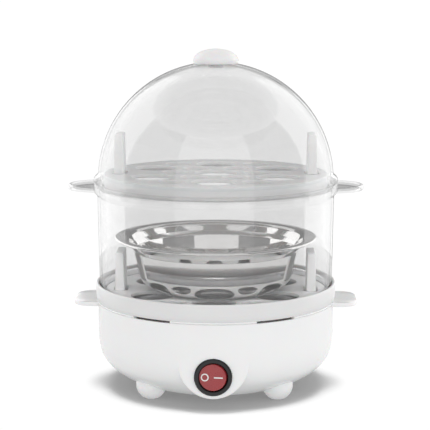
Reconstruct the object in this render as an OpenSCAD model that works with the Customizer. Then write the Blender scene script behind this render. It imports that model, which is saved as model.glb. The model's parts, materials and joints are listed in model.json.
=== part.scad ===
// Two-tier electric egg cooker: a heated water dish in a round housing, two egg trays,
// a steel steaming bowl, a clear steam container and a clear domed lid.
// Frame: Z up, floor at z = 0, centre of the base on the Z axis, switch towards -Y.

/* [Base] */
// Outer radius of the ring around the water dish
ring_r = 80; // [79:0.5:82]
// Height of the ring's top edge above the floor
ring_top_z = 70; // [69:0.5:72]
// Height of the ring's visible band
ring_h = 11.5; // [10.5:0.5:12]
// Distance from the middle to the tip of each grip ear
base_ear_x = 94.1; // [92:0.1:96]
// Width of each grip ear
base_ear_w = 40; // [34:1:44]
// Diameter of the ball feet
foot_d = 20; // [18:0.5:21]
// Distance of each foot from the middle along X and along Y
foot_xy = 41; // [40:0.5:43]

/* [Switch] */
// Diameter of the switch bezel
bezel_d = 24; // [23:0.5:25]
// Diameter of the rocker's face
rocker_d = 16.8; // [16:0.1:16.8]
// Height of the switch's axis
switch_z = 23.6; // [23:0.2:25]
// Angle between off and on
rocker_swing = 14; // [8:1:14]

/* [Trays] */
// Outer radius of an egg tray
tray_r = 74; // [73.5:0.1:74]
// Height of a tray from the bottom of its skirt to the top of its deck
tray_h = 8.5; // [8:0.1:9]
// Diameter of the seven egg holes
egg_hole_d = 28.5; // [24:0.5:29]
// Diameter of the ten steam holes
steam_hole_d = 18; // [12:0.5:18]
// Height of the lift handles above the deck
handle_h = 26; // [20:1:27]

/* [Steam container and lid] */
// Height of the container's rim
rim_top_z = 137; // [135:0.5:139]
// Outer radius of the container's rim
rim_r = 80.8; // [80.4:0.1:81]
// Radius of the container's round grip ears
cont_ear_r = 21; // [18:0.5:22]
// Outer radius of the dome
dome_r = 78; // [77.8:0.1:78.2]
// Diameter of the knob
knob_d = 30; // [26:1:32]
// Height of the knob above the dome's apex
knob_h = 8.6; // [7:0.2:10]

/* [Hidden] */
$fn = 72;

// --- levels above the floor ---
seam_z = ring_top_z - ring_h;
deck_z = ring_top_z - 5.8;
ledge_z = deck_z - tray_h;
web_z = ring_top_z - 8;
dish_rim_z = ring_top_z - 1.6;
dish_floor_z = ledge_z - 6;
housing_floor_z = 4.5;

// --- running gaps ---
sheet_gap = 0.3;
thread_gap = 0.05;
hinge_gap = 0.06;

// --- ring, dish and container radii, from the outside in ---
ring_wall = 2;
ring_in_r = ring_r - ring_wall;
cont_wall = 1.3;
cont_foot_r = ring_in_r - 0.5;
dish_rim_r = cont_foot_r - cont_wall - sheet_gap;
dish_t = 0.8;
dish_wall_r = dish_rim_r - 0.6;
dish_pool_r = 70;
collar_in_r = dish_wall_r + sheet_gap;
collar_out_r = collar_in_r + 1;
shelf_in_r = 71.2;
shelf_t = 2;
gasket_t = 1;
gasket_top_z = ledge_z - dish_t;
shelf_z = gasket_top_z - gasket_t;

// --- housing ---
housing_wall = 1.9;
housing_r = collar_out_r + 0.2 + housing_wall;
flange_r = housing_r + 0.9;
flange_t = 1.1;
curve_top_z = 47;
curve_drop = 26.7;
curve_power = 4.4;
ear_t = 2.7;
ear_corner_r = 12;
slot_h = 1.6;
slot_from = 20;
slot_sweep = 20;
cover_r = 43.7;
cover_t = 2;
cover_hole_r = 44;
cover_ledge_t = 1.8;
cover_screw_r = 40.5;

// --- tongue that carries the switch ---
tongue_half_w = 22.8;
tongue_mid_z = 32;
tongue_top_z = 50;
tongue_r = housing_r - 0.1;
seat_y = tongue_r - 1;

// --- small screws ---
screw_r = 1.25;
screw_hole_r = 1.7;
screw_head_r = 2.8;
screw_head_h = 1;
ring_screw_at = 73.8;
ring_screw_turn = 60;
ring_tab_z = 40;
ring_tab_t = 3.6;
stud_at = 73.2;
stud_r = 1.5;
nut_r = 5.5 / 2 / cos(30);
nut_h = 2.4;

// --- cord entry at the back ---
gland_z = 36;
gland_bore_r = 3.1;
gland_neck_r = 4.5;
gland_out_y = rim_r;

// --- steam container ---
shoulder_z = rim_top_z - 8.5;
rim_wall = 1.5;
tray_shelf_z = rim_top_z - 3;
tray_shelf_t = 1.4;
tray_shelf_r = tray_r - 1.5;
cont_ear_z = rim_top_z - 5.5;
cont_ear_t = 3.5;
cont_ear_x = 98.1 - cont_ear_r;

// --- lid ---
dome_wall = 1.5;
dome_z = rim_top_z + 0.7;
lip_top_z = rim_top_z + 5.2;
lid_spigot_z = rim_top_z - 2;
knob_top_z = dome_z + dome_r + knob_h;
knob_base_z = dome_z + sqrt(dome_r * dome_r - knob_d * knob_d / 4);
knob_pin_r = 4;

// --- switch ---
bezel_t = 2.3;
body_r = 9.9;
cavity_r = 9.15;
hinge_y = -(seat_y - 1.4);
rocker_face = 3.2;
rocker_back = 3.7;
rocker_ball_r = norm([rocker_d / 2, rocker_face]);
rocker_pin_r = 1;

// --- heater under the dish ---
dish_under_z = dish_floor_z - dish_t;
plate_r = 38;
plate_t = 3;
plate_z = dish_under_z - plate_t;
element = [44, 20, 5];
element_z = plate_z - element[2];
clamp_t = 1.2;
clamp_w = 8;
clamp_screw_y = 18.5;
stat_pos = [-20, 21];
stat_arm = 12.5;
fuse_y = -19;
fuse_x = [9, 31];
fuse_r = 2.4;
fuse_z = plate_z - fuse_r - 0.2;
fuse_clip_x = 20;
fuse_screw_y = fuse_y - 6.5;
tab_t = 0.8;

// --- terminal block on the bottom cover ---
cover_top_z = housing_floor_z + cover_t;
block = [26, 12, 10];
block_pos = [0, 20];
block_pitch = 8;
insert_z = cover_top_z + 6;
insert_r = 2.2;
insert_y0 = block_pos[1] - block[1] / 2;

// --- insulated leads: hand-placed routes ---
lead_r = 1.2;
blade_y = -56;
blade_zs = [switch_z - 6, switch_z, switch_z + 6];
tab_z = element_z + 2;
stat_tab_z = plate_z - 13;
route_live = [[-block_pitch, insert_y0, insert_z], [-block_pitch, 6, insert_z], [-12, -12, 14],
              [-9, -32, 16], [0, -48, blade_zs[0]], [0, blade_y, blade_zs[0]]];
route_switched = [[0, blade_y, blade_zs[1]], [0, -48, blade_zs[1]], [-16, -30, 25], [-30, -16, 20],
                  [-36, 4, 18], [-34, 18, 20], [-27, 22, 25], [-24, 21, 29], [-24, 21, stat_tab_z]];
route_element = [[-16, 21, stat_tab_z], [-16, 21, 29], [-17, 16, 25.5], [-24, 8, 25], [-36, 2, 28],
                 [-43, 0, 34], [-42, 0, 41], [-36, 0, tab_z], [-28, 0, tab_z]];
route_fuse = [[28, 0, tab_z], [34, 0, tab_z], [40, -4, 40], [42, -14, 40], [38, -19, fuse_z],
              [fuse_x[1], fuse_y, fuse_z]];
route_neutral = [[fuse_x[0], fuse_y, fuse_z], [4, -19, fuse_z - 1], [2, -22, 36], [2, -16, 26],
                 [0, -4, 15], [0, 6, insert_z], [0, insert_y0, insert_z]];
route_lamp = [[0, blade_y, blade_zs[2]], [0, -48, blade_zs[2]], [12, -32, 26], [16, -14, 18],
              [block_pitch, 4, insert_z], [block_pitch, insert_y0, insert_z]];

// --- outlines and sweeps ---

// Radius of the housing's outer wall at height z
function housing_at(z) = z >= curve_top_z ? housing_r
  : housing_r - curve_drop * pow((curve_top_z - z) / (curve_top_z - housing_floor_z), curve_power);

// Heights that follow the housing's curve, closer together near the floor
housing_zs = [for (i = [0:16]) housing_floor_z
              + (curve_top_z - housing_floor_z) * pow(i / 16, 1.35)];

// Solid outline of the housing, grown outwards by d
function housing_outline(d) = concat(
  [[0, housing_floor_z - d]],
  [for (z = housing_zs) [housing_at(z) + d, z - d * (1 - (z - housing_floor_z)
    / (curve_top_z - housing_floor_z))]],
  [[housing_r + d, seam_z], [0, seam_z]]);

// Left-hand normal of the segment from a to b
function normal(a, b) = [a[1] - b[1], b[0] - a[0]] / norm(b - a);

// Mitred normal of outline p at point i
function mitre(p, i) = let (
  n0 = normal(p[max(i - 1, 0)], p[max(i, 1)]),
  n1 = normal(p[min(i, len(p) - 2)], p[min(i + 1, len(p) - 1)]))
  (n0 + n1) / (1 + n0 * n1);

// Closed outline of a sheet of thickness t on the left of the open outline p
function sheet(p, t) = concat(p, [for (i = [len(p) - 1:-1:0]) p[i] + mitre(p, i) * t]);

// Points of an arc about c, from angle a0 to a1, in n steps
function arc(c, r, a0, a1, n) = [for (i = [0:n]) let (a = a0 + (a1 - a0) * i / n)
  c + r * [cos(a), sin(a)]];

// Catmull-Rom point between b and c at u from 0 to 1
function spline(a, b, c, d, u) = 0.5 * (2 * b + (c - a) * u + (2 * a - 5 * b + 4 * c - d) * u * u
  + (3 * b - a - 3 * c + d) * u * u * u);

// Smooth path through the points of a route, with n steps between neighbours
function smooth(p, n) = concat([for (i = [0:len(p) - 2]) for (k = [0:n - 1])
  spline(p[max(i - 1, 0)], p[i], p[i + 1], p[min(i + 2, len(p) - 1)], k / n)], [p[len(p) - 1]]);

function unit(v) = v / norm(v);

// Round tube of radius r along a route
module tube(route, r) {
  sides = 8;
  steer = unit([0.53, 0.21, 0.82]);
  path = smooth(route, 3);
  last = len(path) - 1;
  rings = [for (i = [0:last])
    let (t = i == 0 ? unit(route[1] - route[0]) : i == last
           ? unit(route[len(route) - 1] - route[len(route) - 2]) : unit(path[i + 1] - path[i - 1]),
         u = unit(cross(t, steer)), v = cross(t, u))
    for (k = [0:sides - 1]) path[i] + r * (u * cos(k * 360 / sides) + v * sin(k * 360 / sides))];
  sides_faces = [for (i = [0:last - 1]) for (k = [0:sides - 1]) let (n = (k + 1) % sides)
    [i * sides + k, i * sides + n, (i + 1) * sides + n, (i + 1) * sides + k]];
  polyhedron(rings, concat(sides_faces, [[for (k = [sides - 1:-1:0]) k]],
    [[for (k = [0:sides - 1]) last * sides + k]]));
}

// Copies of the children at n places on a circle
module around(n, r, turn = 0) {
  for (i = [0:n - 1]) rotate(turn + i * 360 / n) translate([r, 0, 0]) children();
}

// Cylinder along +Y from y0 to y1
module rod_y(r, y0, y1) {
  translate([0, y0, 0]) rotate([-90, 0, 0]) cylinder(r = r, h = y1 - y0);
}

// Box centred in X and Y, standing at z
module block_at(size, pos, z) {
  translate([pos[0] - size[0] / 2, pos[1] - size[1] / 2, z]) cube(size);
}

// Pan-head screw standing on z with its shank upwards
module screw_up(z, grip) {
  translate([0, 0, z]) cylinder(r = screw_head_r, h = screw_head_h);
  translate([0, 0, z + screw_head_h]) cylinder(r = screw_r, h = grip);
}

// --- lid ---

module lid_dome() {
  lip = [[rim_r, rim_top_z], [rim_r, rim_top_z + 2.2], [rim_r - 0.5, rim_top_z + 3],
         [dome_r, lip_top_z], [dome_r - 2, lip_top_z], [dome_r - 2, rim_top_z],
         [dome_r - 0.3, lid_spigot_z], [rim_r - rim_wall - sheet_gap, lid_spigot_z],
         [rim_r - rim_wall - sheet_gap, rim_top_z]];
  color("white", 0.35) difference() {
    union() {
      translate([0, 0, dome_z]) difference() {
        sphere(r = dome_r);
        translate([0, 0, -2 * dome_r]) cube(4 * dome_r, center = true);
      }
      rotate_extrude() polygon(lip);
    }
    translate([0, 0, dome_z]) sphere(r = dome_r - dome_wall);
    translate([0, 0, lid_spigot_z - 5]) cylinder(r = dome_r - dome_wall, h = dome_z - lid_spigot_z + 5);
    translate([0, 0, dome_z + dome_r - 5]) cylinder(r = knob_pin_r + thread_gap, h = 10);
    for (x = [-9, 9]) translate([x, 0, dome_z]) rotate([-30, 0, 0]) cylinder(r = 2, h = dome_r + 5);
  }
}

module lid_knob() {
  cap_h = knob_top_z - knob_base_z;
  cap_r = (knob_d * knob_d / 4 + cap_h * cap_h) / (2 * cap_h);
  color("gainsboro") union() {
    difference() {
      intersection() {
        translate([0, 0, knob_top_z - cap_r]) sphere(r = cap_r);
        translate([0, 0, knob_base_z - 1]) cylinder(r = knob_d / 2, h = cap_h + 2);
      }
      translate([0, 0, dome_z]) sphere(r = dome_r + 0.02);
    }
    translate([0, 0, dome_z + dome_r - dome_wall - 1.5]) cylinder(r = knob_pin_r, h = 6);
    translate([0, 0, dome_z + dome_r - dome_wall - 2.5]) cylinder(r = knob_pin_r + 1, h = 2.2);
  }
}

// --- steam container ---

module steam_container() {
  wall = [[cont_foot_r, web_z], [dome_r + 0.4, shoulder_z], [rim_r, shoulder_z + 2.3],
          [rim_r, rim_top_z - 0.4], [rim_r - 0.4, rim_top_z], [rim_r - rim_wall, rim_top_z],
          [rim_r - rim_wall, tray_shelf_z], [tray_shelf_r, tray_shelf_z],
          [tray_shelf_r, tray_shelf_z - tray_shelf_t],
          [dome_r + 0.4 - cont_wall, tray_shelf_z - tray_shelf_t],
          [dome_r + 0.4 - cont_wall, shoulder_z], [cont_foot_r - cont_wall, web_z]];
  color("white", 0.35) union() {
    rotate_extrude() polygon(wall);
    for (side = [0, 180]) rotate(side) difference() {
      translate([cont_ear_x, 0, cont_ear_z]) cylinder(r = cont_ear_r, h = cont_ear_t);
      translate([cont_ear_x, 0, cont_ear_z - 1]) cylinder(r = cont_ear_r - 2.5, h = 2);
      translate([cont_ear_x, 0, cont_ear_z + cont_ear_t - 1]) cylinder(r = cont_ear_r - 2.5, h = 2);
      cylinder(r = rim_r - 0.7, h = 2 * rim_top_z);
    }
  }
}

// --- steaming bowl ---

bowl_t = 0.7;
bowl_foot_r = 33;
bowl_crease = [55, 26.9];
bowl_flange_z = 34.9;
bowl_flange_r = 67.15;
function bowl_outline() = concat([[0, 0]],
  [for (i = [0:9]) [bowl_foot_r + 19 * sin(i * 10), 13 * (1 - cos(i * 10))]],
  [bowl_crease, [57, 29.6], [59.2, 33.6], [60.4, bowl_flange_z - 0.4],
   [61.8, bowl_flange_z - 0.1], [bowl_flange_r - 0.6, bowl_flange_z]]);

module steam_bowl() {
  color("silver") translate([0, 0, deck_z]) rotate_extrude() union() {
    polygon(sheet(bowl_outline(), bowl_t));
    translate([bowl_flange_r - 0.9, bowl_flange_z + 0.1]) circle(r = 0.9);
  }
}

// --- egg trays ---

handle_x = 63.6;
handle_foot = [6.5, 23];
handle_taper = 0.5;
handle_slot = [9.4, 16];
hook_drop = 4;
deck_t = 2.5;
egg_hole_at = 47.1;
steam_hole_in = 27;
steam_hole_out = 54;

module egg_tray(top_z) {
  color("lightgray") translate([0, 0, top_z]) difference() {
    union() {
      translate([0, 0, -deck_t]) cylinder(r = tray_r, h = deck_t);
      translate([0, 0, -tray_h]) difference() {
        cylinder(r = tray_r - 0.1, h = tray_h);
        translate([0, 0, -1]) cylinder(r = tray_r - 1.4, h = tray_h);
      }
    }
    translate([0, 0, -deck_t - 1]) {
      cylinder(d = egg_hole_d, h = deck_t + 2);
      around(6, egg_hole_at, 30) cylinder(d = egg_hole_d, h = deck_t + 2);
      around(6, steam_hole_in) cylinder(d = steam_hole_d, h = deck_t + 2);
      for (a = [-120, -60, 60, 120]) rotate(a) translate([steam_hole_out, 0, 0])
        cylinder(d = steam_hole_d, h = deck_t + 2);
      for (x = [-handle_x, handle_x]) block_at([handle_slot[0], handle_slot[1], deck_t + 2], [x, 0], 0);
    }
  }
}

// One lift handle: a tapered paddle with two hooks that clip under the deck
module tray_handle(top_z, side) {
  half = handle_foot / 2;
  corner = 2.5;
  color("lightgray") translate([side * handle_x, 0, top_z]) union() {
    intersection() {
      translate([0, half[1], 0]) rotate([90, 0, 0]) linear_extrude(handle_foot[1])
        polygon([[-half[0], 0], [half[0], 0], [half[0] - handle_taper, handle_h],
                 [-half[0] + handle_taper, handle_h]]);
      translate([-half[0], 0, 0]) rotate([90, 0, 90]) linear_extrude(handle_foot[0]) union() {
        translate([-half[1], 0]) square([handle_foot[1], handle_h - corner]);
        translate([-half[1] + corner, 0]) square([handle_foot[1] - 2 * corner, handle_h]);
        for (s = [-1, 1]) translate([s * (half[1] - corner), handle_h - corner]) circle(r = corner);
      }
    }
    block_at([handle_foot[0] - 1, handle_slot[1] - 0.6, deck_t + 1], [0, 0], -deck_t - 0.5);
    block_at([handle_foot[0] - 1, handle_slot[1] + 3, 1.2], [0, 0], -hook_drop);
  }
}

// --- base: ring, housing, cover and feet ---

module base_ring() {
  top_round = 0.9;
  band = concat([[ring_r - 0.9, seam_z], [ring_r - 0.2, seam_z + 2], [ring_r, seam_z + 4]],
    arc([ring_r - top_round, ring_top_z - top_round], top_round, 0, 90, 4),
    arc([ring_in_r + top_round, ring_top_z - top_round], top_round, 90, 180, 4),
    [[ring_in_r, web_z], [collar_in_r, web_z], [collar_in_r, shelf_z], [shelf_in_r, shelf_z],
     [shelf_in_r, shelf_z - shelf_t], [collar_out_r, shelf_z - shelf_t], [collar_out_r, seam_z]]);
  color("gainsboro") difference() {
    union() {
      rotate_extrude() polygon(band);
      around(3, ring_screw_at, ring_screw_turn) translate([0, 0, ring_tab_z + ring_tab_t])
        cylinder(r = 2.8, h = shelf_z - shelf_t - ring_tab_z - ring_tab_t + 0.5);
    }
    around(3, ring_screw_at, ring_screw_turn) translate([0, 0, ring_tab_z])
      cylinder(r = screw_r + thread_gap, h = ring_tab_t + 7);
    around(3, stud_at) translate([0, 0, shelf_z - shelf_t - 1]) cylinder(r = screw_hole_r, h = shelf_t + 2);
    for (a = vent_starts) rotate(a) vent_sector(collar_in_r - 0.05, collar_out_r + 1, shelf_z - shelf_t - 1,
      seam_z - 0.1);
  }
}

vent_starts = [270 + slot_from, 270 - slot_from - slot_sweep,
               90 + slot_from, 90 - slot_from - slot_sweep];

// Sector of a ring from r0 to r1 and z0 to z1, from the +X axis round to the slot's sweep
module vent_sector(r0, r1, z0, z1) {
  rotate_extrude(angle = slot_sweep) translate([r0, z0]) square([r1 - r0, z1 - z0]);
}

// Plan of one grip ear, a plate with two round corners
module ear_plan() {
  inner_x = 60;
  union() {
    translate([inner_x, -base_ear_w / 2]) square([base_ear_x - inner_x - ear_corner_r, base_ear_w]);
    translate([inner_x, -base_ear_w / 2 + ear_corner_r])
      square([base_ear_x - inner_x, base_ear_w - 2 * ear_corner_r]);
    for (s = [-1, 1]) translate([base_ear_x - ear_corner_r, s * (base_ear_w / 2 - ear_corner_r)])
      circle(r = ear_corner_r);
  }
}

// Prism of the tongue's U outline, shrunk by d, running along Y
module tongue_prism(d, y0, y1) {
  w = tongue_half_w - d;
  translate([0, y1, 0]) rotate([90, 0, 0]) linear_extrude(y1 - y0) union() {
    translate([0, tongue_mid_z]) circle(r = w);
    translate([-w, tongue_mid_z]) square([2 * w, tongue_top_z - d - tongue_mid_z]);
  }
}

module housing_shell() {
  first_z = [for (z = housing_zs) if (z > cover_top_z + 0.5) z][0];
  difference() {
    union() {
      rotate_extrude() polygon(housing_outline(0));
      rotate_extrude() polygon([[0, seam_z - flange_t], [flange_r - 0.3, seam_z - flange_t],
        [flange_r, seam_z - flange_t + 0.3], [flange_r, seam_z - 0.3], [flange_r - 0.3, seam_z],
        [0, seam_z]]);
      for (side = [0, 180]) rotate(side) translate([0, 0, seam_z - ear_t]) linear_extrude(ear_t) ear_plan();
      intersection() {
        tongue_prism(0, -tongue_r - 5, -50);
        cylinder(r = tongue_r, h = tongue_top_z + 5);
      }
    }
    rotate_extrude() polygon(concat(
      [[0, cover_top_z], [housing_at(first_z) - housing_wall, cover_top_z]],
      [for (z = housing_zs) if (z >= first_z)
        [housing_at(z) - housing_wall, z]],
      [[housing_r - housing_wall, seam_z + 1], [0, seam_z + 1]]));
    intersection() {
      tongue_prism(housing_wall, -tongue_r - 5, -45);
      cylinder(r = tongue_r - 2.2, h = tongue_top_z + 5);
    }
  }
}

module base_housing() {
  color("white") difference() {
    union() {
      housing_shell();
      translate([0, 0, cover_top_z]) difference() {
        cylinder(r = cover_hole_r + 5.5, h = cover_ledge_t);
        translate([0, 0, -1]) cylinder(r = cover_hole_r - 5, h = cover_ledge_t + 2);
      }
      around(4, cover_screw_r) translate([0, 0, cover_top_z]) cylinder(r = 3.4, h = 8);
      around(3, ring_screw_at, ring_screw_turn) translate([-4.2, -4, ring_tab_z]) cube([7.5, 8, ring_tab_t]);
    }
    translate([0, 0, housing_floor_z - 1]) cylinder(r = cover_hole_r, h = cover_t + 1);
    around(4, cover_screw_r) translate([0, 0, cover_top_z - 1]) cylinder(r = screw_r + thread_gap, h = 7);
    around(3, ring_screw_at, ring_screw_turn) translate([0, 0, ring_tab_z - 1])
      cylinder(r = screw_hole_r, h = ring_tab_t + 2);
    around(4, foot_xy * sqrt(2), 45) cylinder(r = foot_pin_r + thread_gap, h = 20);
    for (a = vent_starts) rotate(a) vent_sector(housing_r - 4, flange_r + 1, seam_z - slot_h, seam_z + 1);
    translate([0, 0, switch_z]) rod_y(body_r + 0.1, -tongue_r - 1, -60);
    translate([0, 0, switch_z]) rod_y(bezel_d / 2 + 0.3, -tongue_r - 1, -seat_y);
    translate([0, 0, gland_z]) rod_y(gland_neck_r + 0.1, 70, 90);
  }
}

module bottom_cover() {
  slot = [26, 2.2, cover_t + 2];
  color("white") difference() {
    translate([0, 0, housing_floor_z]) cylinder(r = cover_r, h = cover_t);
    around(4, cover_screw_r) translate([0, 0, housing_floor_z - 1]) {
      cylinder(r = screw_hole_r, h = cover_t + 2);
      cylinder(r = screw_head_r + 0.2, h = 1 + screw_head_h);
    }
    translate([block_pos[0], block_pos[1], housing_floor_z - 1]) {
      cylinder(r = screw_hole_r, h = cover_t + 2);
      cylinder(r = screw_head_r + 0.2, h = 1 + screw_head_h);
    }
    for (i = [0:4]) block_at(slot, [0, -6 - 6 * i], housing_floor_z - 1);
  }
}

module cover_screws() {
  color("silver") around(4, cover_screw_r) screw_up(housing_floor_z, 6);
}

module ring_screws() {
  color("silver") around(3, ring_screw_at, ring_screw_turn)
    screw_up(ring_tab_z - screw_head_h, ring_tab_t + 5.5);
}

foot_pin_r = 3;
foot_lift = 1;

// Ball foot with a flat pad, shaped to the housing, on a press-in pin
module foot(sx, sy) {
  r = foot_d / 2;
  pin_top = 13;
  color("whitesmoke") union() {
    difference() {
      translate([sx * foot_xy, sy * foot_xy, r - foot_lift]) sphere(r = r);
      translate([0, 0, -r]) cylinder(r = 100, h = r);
      rotate_extrude() polygon(housing_outline(0.05));
    }
    translate([sx * foot_xy, sy * foot_xy, 3]) cylinder(r = foot_pin_r, h = pin_top - 3);
  }
}

// --- heating dish, seal and nuts ---

module heating_dish() {
  inner = [[0, dish_floor_z], [dish_pool_r - dish_t - 2, dish_floor_z],
           [dish_pool_r - dish_t, dish_floor_z + 2], [dish_pool_r - dish_t, ledge_z],
           [dish_wall_r - dish_t, ledge_z], [dish_wall_r - dish_t, dish_rim_z - 0.8],
           [dish_rim_r - 0.2, dish_rim_z - 0.2]];
  color("darkgray") union() {
    rotate_extrude() union() {
      polygon(sheet(inner, -dish_t));
      translate([dish_rim_r - 0.7, dish_rim_z - 0.7]) circle(r = 0.7);
    }
    around(3, stud_at) translate([0, 0, shelf_z - shelf_t - nut_h - 0.8])
      cylinder(r = stud_r, h = gasket_top_z - shelf_z + shelf_t + nut_h + 1.2);
  }
}

module dish_gasket() {
  color("indianred") difference() {
    translate([0, 0, shelf_z]) cylinder(r = dish_wall_r, h = gasket_t);
    translate([0, 0, shelf_z - 1]) cylinder(r = shelf_in_r, h = gasket_t + 2);
    around(3, stud_at) translate([0, 0, shelf_z - 1]) cylinder(r = screw_hole_r, h = gasket_t + 2);
  }
}

module dish_nuts() {
  color("silver") around(3, stud_at) translate([0, 0, shelf_z - shelf_t - nut_h]) difference() {
    rotate(30) cylinder(r = nut_r, h = nut_h, $fn = 6);
    translate([0, 0, -1]) cylinder(r = stud_r + thread_gap, h = nut_h + 2);
  }
}

// --- heater ---

plate_screw_places = concat([for (s = [-1, 1]) [0, s * clamp_screw_y]],
  [for (s = [-1, 1]) [stat_pos[0] + s * stat_arm, stat_pos[1]]], [[fuse_clip_x, fuse_screw_y]]);
foot_sheet_t = 0.8;

module heater_plate() {
  color("silver") difference() {
    translate([0, 0, plate_z]) cylinder(r = plate_r, h = plate_t);
    for (p = plate_screw_places) translate([p[0], p[1], plate_z - 1])
      cylinder(r = screw_r + thread_gap, h = plate_t);
  }
}

module heating_element() {
  color("silver") block_at(element, [0, 0], element_z);
}

module element_tabs() {
  color("goldenrod") for (s = [-1, 1])
    block_at([6, 6.3, tab_t], [s * (element[0] / 2 + 3), 0], tab_z - tab_t / 2);
}

module heater_clamp() {
  half = element[1] / 2 + 0.2;
  foot_len = 12;
  color("silver") difference() {
    union() {
      block_at([clamp_w, 2 * half, clamp_t], [0, 0], element_z - clamp_t);
      for (s = [-1, 1]) {
        block_at([clamp_w, clamp_t, element[2] + clamp_t], [0, s * (half + clamp_t / 2)],
          element_z - clamp_t);
        block_at([clamp_w, foot_len, foot_sheet_t], [0, s * (half + clamp_t + foot_len / 2 - 0.2)],
          plate_z - foot_sheet_t);
      }
    }
    for (s = [-1, 1]) translate([0, s * clamp_screw_y, plate_z - 5]) cylinder(r = screw_hole_r, h = 10);
  }
}

module plate_screws() {
  color("silver") for (p = plate_screw_places) translate([p[0], p[1], 0])
    screw_up(plate_z - foot_sheet_t - screw_head_h, foot_sheet_t + 1.8);
}

module thermostat() {
  color("dimgray") translate([stat_pos[0], stat_pos[1], 0]) union() {
    translate([0, 0, plate_z - 9]) cylinder(r = 8.6, h = 9 - foot_sheet_t);
    translate([0, 0, plate_z - 1]) cylinder(r = 7.9, h = 1);
  }
}

module thermostat_flange() {
  color("silver") translate([stat_pos[0], stat_pos[1], plate_z - foot_sheet_t]) difference() {
    union() {
      cylinder(r = 9.4, h = foot_sheet_t);
      block_at([2 * stat_arm + 6, 7, foot_sheet_t], [0, 0], 0);
    }
    translate([0, 0, -1]) cylinder(r = 8, h = 3);
    for (s = [-1, 1]) translate([s * stat_arm, 0, -1]) cylinder(r = screw_hole_r, h = 3);
  }
}

module thermostat_tabs() {
  color("goldenrod") for (s = [-1, 1])
    block_at([tab_t, 6.3, plate_z - 9 - stat_tab_z], [stat_pos[0] + s * 4, stat_pos[1]], stat_tab_z);
}

module thermal_fuse() {
  color("ivory") translate([fuse_x[0], fuse_y, fuse_z]) rotate([0, 90, 0])
    cylinder(r = fuse_r, h = fuse_x[1] - fuse_x[0]);
}

module fuse_clip() {
  w = 6;
  r_in = fuse_r + 0.1;
  r_out = r_in + 0.7;
  color("silver") difference() {
    union() {
      translate([fuse_clip_x - w / 2, fuse_y, fuse_z]) rotate([0, 90, 0]) cylinder(r = r_out, h = w);
      translate([fuse_clip_x - w / 2, fuse_y - r_out, fuse_z]) cube([w, 0.7, plate_z - fuse_z]);
      translate([fuse_clip_x - w / 2, fuse_screw_y - 3, plate_z - foot_sheet_t])
        cube([w, fuse_y - r_out - fuse_screw_y + 3.5, foot_sheet_t]);
    }
    translate([fuse_clip_x - w, fuse_y, fuse_z]) rotate([0, 90, 0]) cylinder(r = r_in, h = 2 * w);
    translate([fuse_clip_x - w, fuse_y - r_in, fuse_z]) cube([2 * w, 2 * r_out, 10]);
    translate([fuse_clip_x, fuse_screw_y, plate_z - 5]) cylinder(r = screw_hole_r, h = 10);
  }
}

// --- switch ---

module switch_body() {
  back_y = -64;
  floor_y = -68;
  color([0.16, 0.17, 0.18]) translate([0, 0, switch_z]) difference() {
    union() {
      rod_y(bezel_d / 2, -seat_y - bezel_t + 0.8, -seat_y);
      translate([0, -seat_y - bezel_t, 0]) rotate([-90, 0, 0])
        cylinder(r1 = bezel_d / 2 - 0.8, r2 = bezel_d / 2, h = 0.8);
      rod_y(body_r, -seat_y - 0.5, back_y);
      for (s = [-1, 1]) translate([s * 10.2 - 0.7, -seat_y + 2.3, -3]) cube([1.4, 4, 6]);
    }
    rod_y(cavity_r, -seat_y - bezel_t - 1, floor_y);
    translate([0, hinge_y, -12]) cylinder(r = rocker_pin_r + hinge_gap, h = 24);
    for (z = blade_zs) translate([-3.2, floor_y - 1, z - switch_z - 0.45]) cube([6.4, 6, 0.9]);
  }
}

// Rocker, ball-sided about its hinge so that it clears the bezel at both ends of its swing
module switch_rocker() {
  color([0.72, 0.25, 0.27]) translate([0, hinge_y, switch_z]) rotate(-rocker_swing / 2) union() {
    intersection() {
      sphere(r = rocker_ball_r);
      rod_y(rocker_ball_r + 1, -rocker_face, rocker_back);
    }
    translate([0, 0, -body_r + 0.2]) cylinder(r = rocker_pin_r, h = 2 * body_r - 0.4);
  }
}

module switch_terminals() {
  color("goldenrod") for (z = blade_zs) translate([-3.15, -67.5, z - 0.4]) cube([6.3, blade_y + 67.5, 0.8]);
}

module pilot_lamp() {
  color("orange") translate([-4, -69.3, switch_z + 3]) rotate([0, 90, 0]) cylinder(r = 1.1, h = 8);
}

// --- cord entry and terminal block ---

module cord_gland() {
  wall_y = housing_r;
  color([0.85, 0.85, 0.86]) translate([0, 0, gland_z]) difference() {
    union() {
      rod_y(6.5, wall_y, gland_out_y);
      rod_y(gland_neck_r, wall_y - 4.2, gland_out_y);
      rod_y(6, wall_y - 4.2, wall_y - housing_wall - 1);
    }
    rod_y(gland_bore_r, wall_y - 6, gland_out_y + 1);
  }
}

module terminal_block() {
  color("ivory") difference() {
    block_at(block, block_pos, cover_top_z);
    for (i = [-1:1]) translate([i * block_pitch, 0, insert_z])
      rod_y(insert_r, insert_y0 - 1, insert_y0 + block[1] + 1);
    translate([block_pos[0], block_pos[1], cover_top_z - 1]) cylinder(r = screw_r + thread_gap, h = 3.8);
  }
}

module terminal_inserts() {
  color("goldenrod") for (i = [-1:1]) translate([i * block_pitch, 0, insert_z])
    difference() {
      rod_y(insert_r - 0.02, insert_y0, insert_y0 + block[1]);
      rod_y(1.3, insert_y0 + block[1] / 2, insert_y0 + block[1] + 1);
    }
}

module block_screw() {
  color("silver") translate([block_pos[0], block_pos[1], 0]) screw_up(housing_floor_z, cover_t + 1.4);
}

module lead(route, tint) {
  color(tint) tube(route, lead_r);
}

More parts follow.
